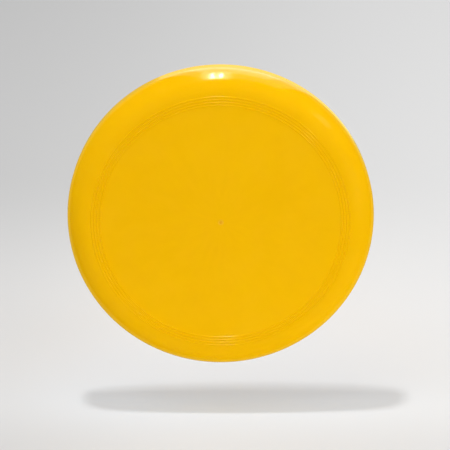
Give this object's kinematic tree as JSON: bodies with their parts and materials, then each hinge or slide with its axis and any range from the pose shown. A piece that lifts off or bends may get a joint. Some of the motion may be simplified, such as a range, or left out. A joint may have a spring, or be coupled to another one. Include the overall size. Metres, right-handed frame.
{
  "type": "flying disc",
  "caption": "Throwing disc for lawn games: a moulded plastic shell with a flat ridged plate, a round shoulder and a deep open rim.",
  "frame": {"origin": "centre of the plane that the rim's foot rests on, which is also the bottom centre of the disc's box", "axes": "+Z along the disc's spin axis, from the open underside to the domed top; the disc is round, so X and Y are any two directions across it"},
  "size_m": [0.273, 0.273, 0.0335],
  "materials": {
    "yellow_plastic": "glossy moulded polyethylene, one even golden yellow right through"
  },
  "bodies": {
    "root": {"flying_disc": "yellow_plastic"}
  },
  "joints": []
}
